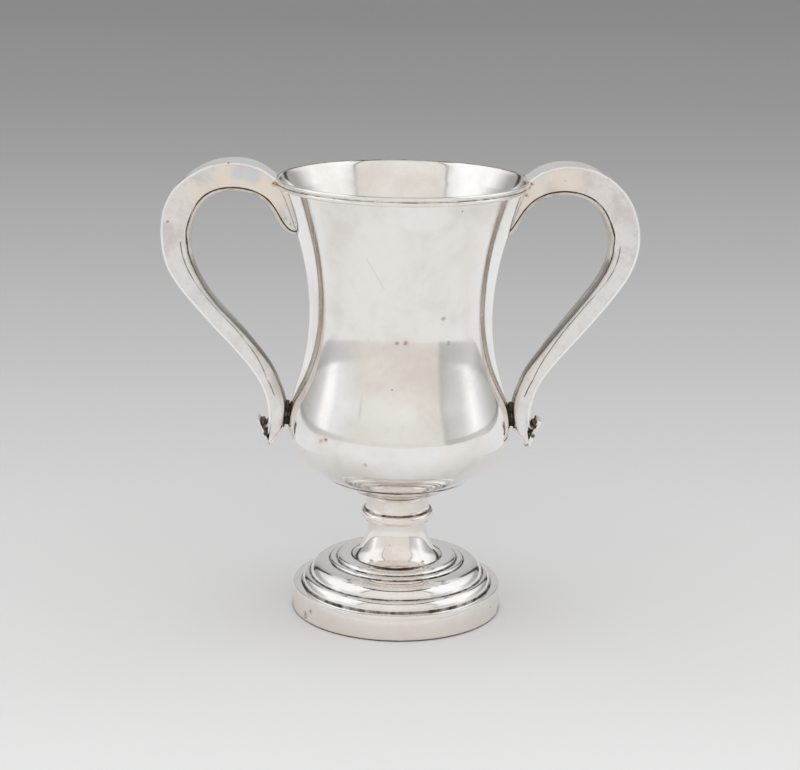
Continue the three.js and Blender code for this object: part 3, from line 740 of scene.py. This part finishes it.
# each finish's dark colour for grime and painted shade darkens pits, spot middles, corners and grooves
finishes = {
    "bowl": {
        "clean": (0.95, 0.922, 0.89), "film": (0.81, 0.755, 0.71), "filmShare": 0.6, "cloudScale": 32,
        "bloom": (0.975, 0.97, 0.955), "bloomShare": 0.7, "grimeAndShade": (0.13, 0.095, 0.06), "rust": (0.58, 0.43, 0.29),
        "roughness": 0.05, "haze": 0.10, "wave": 0.4, "dent": 0.03, "grain": 0.006, "mottle": 0.2,
        "grooves": [(48.85, 172.85, 0.5), (29.4, 56.4, 0.5)],
        "spots": [((15.0, -33.5, 127.6), 1.5), ((14.6, -34.0, 125.3), 1.0), ((0.6, -36.6, 118.8), 1.7),
                  ((-2.6, -36.5, 118.5), 1.4), ((17.3, -32.4, 118.0), 1.3), ((-29.4, -33.4, 79.5), 1.9),
                  ((-31.2, -31.9, 78.5), 1.5), ((-14.0, -41.7, 72.0), 1.2)],
        "scratches": [((-14.6, -38.0, 151.5), (-7.7, -37.3, 139.6), 0.3),
                      ((-20.4, -32.6, 141.4), (-18.6, -33.2, 138.4), 0.28),
                      ((-8.0, -36.6, 119.0), (-3.5, -36.8, 118.4), 0.3)],
    },
    "rim": {
        "clean": (0.955, 0.92, 0.885), "film": (0.84, 0.77, 0.71), "filmShare": 0.5, "cloudScale": 60,
        "bloom": (0.96, 0.96, 0.95), "bloomShare": 0.3, "grimeAndShade": (0.18, 0.14, 0.10),
        "roughness": 0.08, "haze": 0.10, "wave": 0.04, "dent": 0.02, "grain": 0.006, "mottle": 0.2,
        "grooves": [(49.3, 174.4, 0.36), (48.8, 172.9, 0.4), (48.8, 176.35, 0.35)], "wiped": 0.45,
    },
    "stem": {
        "clean": (0.945, 0.90, 0.86), "film": (0.80, 0.72, 0.66), "filmShare": 0.45, "cloudScale": 80,
        "bloom": (0.93, 0.93, 0.93), "bloomShare": 0.3, "grimeAndShade": (0.10, 0.07, 0.045), "rust": (0.50, 0.36, 0.24),
        "roughness": 0.05, "haze": 0.08, "wave": 0.05, "dent": 0.03, "grain": 0.006, "mottle": 0.25,
        "grooves": [(13.2, 41.5, 0.9), (12.3, 37.55, 0.9), (15.8, 50.0, 0.7), (18.3, 21.6, 0.6),
                    (29.4, 56.3, 0.55), (19.0, 50.8, 0.35)],
        "wiped": 0.5, "spots": [((-3.4, -12.5, 29.3), 0.6), ((5.0, -12.0, 30.5), 0.5)],
    },
    "foot": {
        "clean": (0.955, 0.935, 0.915), "film": (0.82, 0.755, 0.705), "filmShare": 0.38, "cloudScale": 70,
        "bloom": (0.93, 0.935, 0.94), "bloomShare": 0.3, "grimeAndShade": (0.10, 0.07, 0.045), "rust": (0.52, 0.38, 0.26),
        "roughness": 0.05, "haze": 0.09, "wave": 0.06, "dent": 0.03, "grain": 0.007, "mottle": 0.3,
        # the first ring, at the bead's lower edge, is tarnish with painted shade and a painted dark reflection
        "grooves": [(38.5, 10.5, 0.9), (35.3, 14.4, 0.7), (27.2, 19.45, 0.8), (24.35, 20.35, 0.75),
                    (18.3, 21.6, 0.6)],
        "wiped": 0.55, "spots": [((1.0, -17.2, 21.7), 0.8)],
    },
    "band": {
        "clean": (0.93, 0.875, 0.825), "film": (0.86, 0.78, 0.72), "filmShare": 0.6, "cloudScale": 55,
        "bloom": (0.92, 0.91, 0.90), "bloomShare": 0.2, "grimeAndShade": (0.10, 0.075, 0.055), "rust": (0.58, 0.44, 0.33),
        "roughness": 0.10, "haze": 0.10, "wave": 0.05, "dent": 0.02, "grain": 0.006, "mottle": 0.25,
        # the ring at the band's bottom edge is a painted contact shadow
        "grooves": [(42.35, 0.1, 0.8)], "wiped": 0.8,
        "spots": [((-36.9, -20.9, 2.5), 2.6), ((-34.9, -24.0, 5.5), 1.8)],
    },
    "cheek": {
        "clean": (0.88, 0.85, 0.83), "film": (0.70, 0.66, 0.65), "filmShare": 0.75, "cloudScale": 60,
        "bloom": (0.97, 0.955, 0.93), "bloomShare": 0.4, "grimeAndShade": (0.13, 0.09, 0.06), "rust": (0.52, 0.38, 0.27),
        "roughness": 0.24, "haze": 0.18, "wave": 0.10, "dent": 0.10, "grain": 0.02, "mottle": 0.5,
        "spots": [((-50.0, -8.0, 174.4), 1.9), ((-48.6, -8.0, 175.2), 1.5), ((49.2, -8.0, 175.6), 1.9),
                  ((47.9, -7.8, 171.0), 1.3), ((-91.0, -7.8, 159.2), 1.3), ((-45.4, -7.6, 161.0), 0.9),
                  ((-43.7, -7.6, 158.6), 0.8), ((-81.8, -7.6, 127.4), 0.6), ((-73.8, -7.6, 119.5), 0.6),
                  ((-53.5, -7.9, 178.8), 0.9), ((-51.6, -7.9, 177.6), 0.7)],
        "solder": [((-50.5, -8.0, 170.5), 11.0), ((49.8, -8.0, 170.5), 10.0), ((-66.0, -8.0, 174.5), 10.0),
                   ((-77.0, -8.0, 170.5), 7.0), ((64.0, -8.0, 176.5), 10.0)],
        "cool": [((-58.5, -8.0, 178.0), 4.6), ((-63.5, -8.0, 178.6), 3.6)],
    },
    "strap": {
        "clean": (0.975, 0.965, 0.945), "film": (0.88, 0.85, 0.81), "filmShare": 0.3, "cloudScale": 40,
        "bloom": (0.86, 0.89, 0.92), "bloomShare": 0.4, "grimeAndShade": (0.08, 0.06, 0.045), "rust": (0.55, 0.42, 0.30),
        "roughness": 0.12, "haze": 0.10, "wave": 0.10, "dent": 0.05, "grain": 0.008, "mottle": 0.15,
        # the wide ring at the handle's foot is painted shade, with tarnish, in the crevice between strap tail and
        # plate
        "grooves": [(55.2, 78.0, 4.6)], "wiped": 0.9,
        "spots": [((-67.4, -8.0, 182.4), 0.8), ((49.5, -8.0, 178.4), 0.8)],
    },
    # the inner strip's silver is darker than the rest: tarnish, with painted shade and a painted dark reflection on
    # the side that faces the bowl
    "strip": {
        "clean": (0.74, 0.68, 0.60), "film": (0.50, 0.43, 0.35), "filmShare": 0.75, "cloudScale": 90,
        "bloom": (0.90, 0.90, 0.89), "bloomShare": 0.3, "grimeAndShade": (0.10, 0.075, 0.05),
        "roughness": 0.22, "haze": 0.12, "wave": 0.05, "dent": 0.04, "grain": 0.01, "mottle": 0.3,
    },
    "plate": {
        "clean": (0.93, 0.905, 0.88), "film": (0.74, 0.66, 0.56), "filmShare": 0.6, "cloudScale": 160,
        "bloom": (0.9, 0.9, 0.9), "bloomShare": 0.3, "grimeAndShade": (0.10, 0.075, 0.055),
        "roughness": 0.24, "haze": 0.18, "wave": 0.10, "dent": 0.10, "grain": 0.02, "mottle": 0.5,
        # the plate's rings are painted shade, with tarnish, in the crevice on its inner face
        "grooves": [(53.7, 73.4, 1.3), (51.4, 69.8, 1.1)], "wiped": 0.85,
    },
    # the lug's near-black silver is tarnish together with painted shade of the crevice it sits in
    "lug": {
        "clean": (0.10, 0.09, 0.065), "film": (0.24, 0.18, 0.11), "filmShare": 0.9, "cloudScale": 330,
        "bloom": (0.04, 0.04, 0.035), "bloomShare": 0.9, "grimeAndShade": (0.03, 0.025, 0.02),
        "roughness": 0.36, "haze": 0.25, "wave": 0, "dent": 0.1, "grain": 0.04, "mottle": 0.5,
        # the cool patches across the lug's middle are a painted highlight band
        "cool": [((-45.9, -1.5, 80.9), 1.3), ((45.9, -1.5, 80.9), 1.3)],
    },
}


def patternAt(tree, place, name, cloudScale=1):
    scale, *rest = patterns[name]["noise"]
    return noiseAt(tree, movedPlace(tree, place, patterns[name].get("shift", (0, 0, 0))), scale * cloudScale, *rest)


def patchesOf(tree, pattern, name, low=0.0, high=1.0):
    return fade(tree, pattern, *patterns[name]["limits"], low, high)


def patchesAt(tree, place, name, low=0.0, high=1.0):
    return patchesOf(tree, patternAt(tree, place, name), name, low, high)


def makeSilver(name, finish):
    material = bpy.data.materials.new(name + "_silver")
    material.use_nodes = True
    tree = material.node_tree
    shader = tree.nodes["Principled BSDF"]
    shader.inputs["Metallic"].default_value = 1
    place = tree.nodes.new("ShaderNodeTexCoord").outputs["Object"]
    ragged = patternAt(tree, place, "ragged")

    # a thin warm film in clouds, a cool bloom beside it, and a finer mottling over both
    clouds, bloom, mottle = (patternAt(tree, place, key, finish["cloudScale"])
                             for key in ("clouds", "bloom", "mottle"))
    film = patchesOf(tree, clouds, "clouds", 0, finish["filmShare"])
    color = blendColors(tree, film, finish["clean"], finish["film"])
    color = blendColors(tree, patchesOf(tree, bloom, "bloom", 0, finish["bloomShare"]), color, finish["bloom"])
    color = blendColors(tree, patchesOf(tree, mottle, "mottle", 0, finish["mottle"]), color, finish["film"])
    for patches, tint in (("solder", solderTint), ("cool", coolTint)):
        for centre, reach in finish.get(patches, []):
            color = stain(tree, color, spotAt(tree, place, clouds, centre, reach), tintStrength[patches], tint)

    # hairlines left by wiping, each set lying along its own plane through the cup
    lines = []
    for turn, shift in wipeLines["turns"]:
        turned = movedPlace(tree, place, (shift, shift, 0), turn, wipeLines["stretch"])
        lines.append(fade(tree, noiseAt(tree, turned, wipeLines["scale"], 2), *wipeLines["limits"]))
    hairlines = times(tree, strongest(tree, lines), patchesAt(tree, place, "wipedAreas"))

    # pits: a few cells of a scattered pattern hold one each
    cells = tree.nodes.new("ShaderNodeTexVoronoi")
    cells.inputs["Scale"].default_value = pitLook["scale"]
    tree.links.new(place, cells.inputs["Vector"])
    chosen = tree.nodes.new("ShaderNodeSeparateColor")
    tree.links.new(cells.outputs["Color"], chosen.inputs["Color"])
    holes = fade(tree, cells.outputs["Distance"], *pitLook["hole"], 1, 0)
    pits = times(tree, holes, fade(tree, chosen.outputs["Red"], *pitLook["chosen"]))
    color = stain(tree, color, pits, tintStrength["pit"], finish["grimeAndShade"])

    # brown spots, darkest in their middle, and scratches
    if "spots" in finish:
        spots = strongest(tree, [spotAt(tree, place, ragged, centre, reach * spotLook["share"])
                                 for centre, reach in finish["spots"]])
        spots = times(tree, spots, patchesAt(tree, place, "spotGrain", 0.25))
        color = stain(tree, color, spots, tintStrength["spot"], finish["rust"])
        color = blendColors(tree, fade(tree, spots, *spotLook["heart"]), color, finish["grimeAndShade"])
    for start, end, width in finish.get("scratches", []):
        scratch = scratchAt(tree, place, ragged, start, end, width)
        color = stain(tree, color, scratch, tintStrength["scratch"], finish["rust"])

    # tarnish that stays where a cloth doesn't reach, with painted shade: the AO paints shade into corners and
    # seams, and rings darken the turned grooves with tarnish and painted shade
    cornerShade = tree.nodes.new("ShaderNodeAmbientOcclusion")
    cornerShade.samples = 8
    cornerShade.inputs["Distance"].default_value = cornerShadeLook["reach"] * mm
    grimeAndShade = fade(tree, cornerShade.outputs["AO"], *cornerShadeLook["limits"], 1, 0)
    if "grooves" in finish:
        split = tree.nodes.new("ShaderNodeSeparateXYZ")
        tree.links.new(place, split.inputs["Vector"])
        x, y, z = (split.outputs[axis] for axis in "XYZ")
        radius = calc(tree, "ABSOLUTE", x) if name in ("strap", "plate") else lengthOf(tree, x, y)
        grooves = strongest(tree, [circleAt(tree, radius, z, *groove) for groove in finish["grooves"]])
        wiped = patchesAt(tree, place, "wiping", finish.get("wiped", 0.3), 0.95)
        grimeAndShade = strongest(tree, [grimeAndShade, times(tree, grooves, wiped)])
    # the attribute darkens tarnished seams, and paints shade into creases and hidden faces
    if name in ("cheek", "strip"):
        soilAndShade = tree.nodes.new("ShaderNodeAttribute")
        soilAndShade.attribute_name = "soilAndShade"
        soiledAndShaded = calc(tree, "POWER", soilAndShade.outputs["Fac"], 1.6)
        grimeAndShade = strongest(tree, [grimeAndShade, times(tree, soiledAndShaded, patchesAt(tree, place, "worn", 0.45))])
    grimeAndShade = times(tree, grimeAndShade, patchesAt(tree, place, "crumbs", 0.78))
    # the dark colour is laid on as tarnish and painted shade together
    color = blendColors(tree, fade(tree, grimeAndShade, 0.05, 0.9), color, finish["grimeAndShade"])
    tree.links.new(color, shader.inputs["Base Color"])

    # roughness: the film, the mottling, the hairlines and the grime and painted-shade mask dull the polish
    dull = plus(tree, times(tree, film, finish["haze"]), times(tree, mottle, finish["haze"] * 0.5),
                times(tree, hairlines, wipeLines["dulling"]), times(tree, grimeAndShade, grimeAndShadeDulling), finish["roughness"])
    tree.links.new(dull, shader.inputs["Roughness"])

    # relief in mm: slow waves of hand work, small dents, grain, hairlines and pits
    waves, dents = patternAt(tree, place, "wave"), patternAt(tree, place, "dent")
    relief = plus(tree, times(tree, waves, finish["wave"]), times(tree, dents, finish["dent"]),
                  times(tree, mottle, finish["grain"]), times(tree, hairlines, -wipeLines["depth"]),
                  times(tree, pits, -pitLook["depth"]))
    bump = tree.nodes.new("ShaderNodeBump")
    setInputs(bump, {"Strength": 1, "Distance": mm})
    tree.links.new(relief, bump.inputs["Height"])
    tree.links.new(bump.outputs["Normal"], shader.inputs["Normal"])
    return material


silvers = {name: makeSilver(name, finish) for name, finish in finishes.items()}
finishOf = {"outer_strip": "strap", "front_cheek": "cheek", "back_cheek": "cheek", "inner_strip": "strip",
            "toe_strip": "cheek", "terminal_plate": "plate", "spacer_lug": "lug", "tail_solder": "lug"}
laidOn = [(bowl, "bowl"), (rimWire, "rim"), (dish, "stem"), (spool, "stem"), (knop, "stem"), (stem, "stem"),
          (footDome, "foot"), (footBand, "band")]
laidOn += [(piece, finishOf[node.split("_", 1)[1]]) for node, piece in handlePieces.items()]
for piece, name in laidOn:
    piece.data.materials.append(silvers[name])
print("silver laid on")

# table, light and camera: places in metres, angles in degrees

studio = {
    "cream": (0.83, 0.815, 0.79),
    "lowCream": (0.77, 0.745, 0.72),
    "softbox": (1.04, 1.045, 1.06),
    "slotDark": (0.04, 0.035, 0.03),
    "tableSize": 14,
    "tableReach": (0.7626, 0.861),
    "cardCorners": {(-1, -1): (0.15, -0.06), (1, -1): (0.64, -0.06), (-1, 1): (0.32, 1.9), (1, 1): (2.2, 1.9)},
    "cardLift": 0.001,
    "sun": 0.62,
    "sunAngle": 80,
}


# a matt paint, with the places on it split into X, Y and Z
def mattPaint(name):
    paint = bpy.data.materials.new(name)
    paint.use_nodes = True
    tree = paint.node_tree
    shader = tree.nodes["Principled BSDF"]
    setInputs(shader, {"Roughness": 0.9, "Specular IOR Level": 0})
    split = tree.nodes.new("ShaderNodeSeparateXYZ")
    tree.links.new(tree.nodes.new("ShaderNodeTexCoord").outputs["Object"], split.inputs["Vector"])
    return paint, tree, shader.inputs["Base Color"], split.outputs


# the table: its near part darkens away from the camera, and its far part is shaded by the bearing
freshSelection()
bpy.ops.mesh.primitive_plane_add(size=studio["tableSize"], location=(0, 0, 0))
table = bpy.context.object
table.name = "table"
tablePaint, tree, tableColor, at = mattPaint("pale_table")
depthShade = colorLine(tree, at["Y"], [
    (-0.15, 0.863), (-0.10, 0.84), (-0.043, 0.81), (0.074, 0.75), (0.222, 0.67), (0.433, 0.571),
    (0.749, 0.474), (1.283, 0.376), (1.83, 0.323), (3.3, 0.276), (6, 0.25),
])
way = bearing(tree, at["X"], at["Y"])
farShade = colorLine(tree, way, [
    (-180, 0.42), (-112, 0.46), (-100, (0.54, 0.54, 0.56)), (-82, (0.64, 0.64, 0.65)),
    (-64, (0.69, 0.68, 0.67)), (-50, (0.74, 0.72, 0.70)), (-44, (0.78, 0.755, 0.725)),
    (42.5, (0.77, 0.745, 0.715)), (46.5, (0.53, 0.525, 0.525)), (66, (0.56, 0.56, 0.575)),
    (82, (0.64, 0.64, 0.65)), (94, (0.66, 0.66, 0.68)), (106, 0.5), (180, 0.42),
])
farMask = times(tree, fade(tree, lengthOf(tree, at["X"], at["Y"]), *studio["tableReach"]),
                fade(tree, calc(tree, "ABSOLUTE", way), 100, 125, 1, 0))
tree.links.new(blendColors(tree, farMask, depthShade, farShade), tableColor)
table.data.materials.append(tablePaint)

# two white cards lie on the table beside and behind the cup: only the metal sees them
cardPaint, tree, cardColor, at = mattPaint("white_card")
tree.links.new(colorLine(tree, at["Y"], [(-0.06, (0.82, 0.81, 0.80)), (0.07, (0.86, 0.872, 0.885))]), cardColor)
for name, mirror in (("card_right", 1), ("card_left", -1)):
    freshSelection()
    bpy.ops.mesh.primitive_plane_add(size=1, location=(0, 0, 0))
    card = bpy.context.object
    card.name = name
    for vertex in card.data.vertices:
        x, y = studio["cardCorners"][(round(vertex.co.x * 2), round(vertex.co.y * 2))]
        vertex.co = (mirror * x, y, studio["cardLift"])
    card.data.materials.append(cardPaint)
    card.visible_camera = card.visible_shadow = card.visible_diffuse = False

freshSelection()
bpy.ops.object.light_add(type="SUN", location=(0, 0, 2))
overhead = bpy.context.object
overhead.name = "overhead"
overhead.data.energy, overhead.data.angle = studio["sun"], radians(studio["sunAngle"])
overhead.visible_glossy = False

# the room that the silver reflects, by bearing round the cup and by climb above the table, both in degrees
world = bpy.data.worlds.new("studio")
bpy.context.scene.world = world
world.use_nodes = True
tree = world.node_tree
background = tree.nodes["Background"]
coordinates = tree.nodes.new("ShaderNodeTexCoord")
split = tree.nodes.new("ShaderNodeSeparateXYZ")
tree.links.new(coordinates.outputs["Generated"], split.inputs["Vector"])
way = bearing(tree, split.outputs["X"], split.outputs["Y"])
angle = calc(tree, "ABSOLUTE", way)
climb = times(tree, calc(tree, "ARCSINE", split.outputs["Z"]), degrees(1))

# the softboxes leave a wider gap higher up, with a dark slot beside them that is darkest near the top
slotAt = plus(tree, angle, fade(tree, climb, 19, 27, 0, -6.5))
brightPanels = colorLine(tree, slotAt, [
    (0, studio["cream"]), (43.6, (0.80, 0.785, 0.76)), (46.2, (0.80, 0.80, 0.81)), (51, (0.90, 0.905, 0.915)),
    (57, (0.99, 0.99, 0.995)), (64, studio["softbox"]), (180, studio["softbox"]),
])
slot = colorLine(tree, slotAt, [(43.4, 0), (44.4, 1), (45.6, 1), (47.2, 0)])
slotShare = times(tree, slot, fade(tree, climb, 32, 44, 0.45, 0.97))
panels = blendColors(tree, slotShare, brightPanels, studio["slotDark"])

# behind the cup the softboxes fall off, sooner low down
edge = plus(tree, angle, times(tree, climb, -0.8))
fallOff = colorLine(tree, edge, [
    (84, studio["softbox"]), (94, (0.95, 0.955, 0.965)), (106, 0.80), (121, 0.66), (133, 0.54), (180, 0.48),
])
panels = blendColors(tree, fade(tree, edge, 82, 88), panels, fallOff)

# low down the room is darker and its two sides differ
lowPanels = colorLine(tree, way, [
    (-180, 0.38), (-132, 0.38), (-112, 0.52), (-100, (0.68, 0.68, 0.70)), (-91, (1.04, 1.04, 1.05)),
    (-84, (1.02, 1.02, 1.03)), (-76, (0.82, 0.82, 0.83)), (-64, (0.77, 0.765, 0.76)),
    (-52, (0.72, 0.705, 0.69)), (-44, (0.74, 0.715, 0.69)), (0, studio["lowCream"]),
    (42.5, (0.74, 0.715, 0.69)), (46, (0.53, 0.52, 0.51)), (52, (0.59, 0.59, 0.60)), (60, (0.64, 0.645, 0.66)),
    (68, (0.68, 0.68, 0.70)), (76, (0.84, 0.84, 0.85)), (84, (1.05, 1.05, 1.06)), (91, (0.93, 0.93, 0.94)),
    (99, (0.72, 0.72, 0.74)), (112, 0.52), (132, 0.38), (180, 0.38),
])
painted = blendColors(tree, fade(tree, climb, 12, 23), lowPanels, panels)

# straight behind stands the backdrop with a dark edge, and overhead the ceiling starts with one
backdrop = colorLine(tree, angle, [
    (143, 0.34), (146.5, 0.05), (150.5, 0.05), (154, 0.42), (165, 0.52), (180, 0.56),
])
backdropShare = times(tree, fade(tree, angle, 142, 143.5), fade(tree, climb, 36, 42, 1, 0))
painted = blendColors(tree, backdropShare, painted, backdrop)
ceiling = colorLine(tree, climb, [(60, 0.9), (64.4, 0.9), (64.9, 0.02), (71.0, 0.03), (73.0, 0.66), (90, 0.84)])
painted = blendColors(tree, fade(tree, climb, 64.4, 65), painted, ceiling)
tree.links.new(painted, background.inputs["Color"])
background.inputs["Strength"].default_value = 1

# distance and height in metres, angles in degrees, lens and sensor in mm
view = {"distance": 0.755, "height": 0.290, "yaw": 2.2, "aside": 0.016, "pitch": 14.638, "roll": 1.0,
        "lens": 87.75, "sensor": 36}
camera = bpy.data.objects.new("camera", bpy.data.cameras.new("camera"))
bpy.context.collection.objects.link(camera)
camera.data.lens, camera.data.sensor_width = view["lens"], view["sensor"]
yaw = radians(view["yaw"])
camera.location = (-view["distance"] * sin(yaw), -view["distance"] * cos(yaw), view["height"])
turn, tilt = -yaw - radians(view["aside"]), radians(90 - view["pitch"])
camera.rotation_mode = "QUATERNION"
camera.rotation_quaternion = (Quaternion((0, 0, 1), turn) @ Quaternion((1, 0, 0), tilt)
                              @ Quaternion((0, 0, 1), radians(view["roll"])))
bpy.context.scene.camera = camera
bpy.context.scene.view_settings.view_transform = "Standard"
print("studio set")
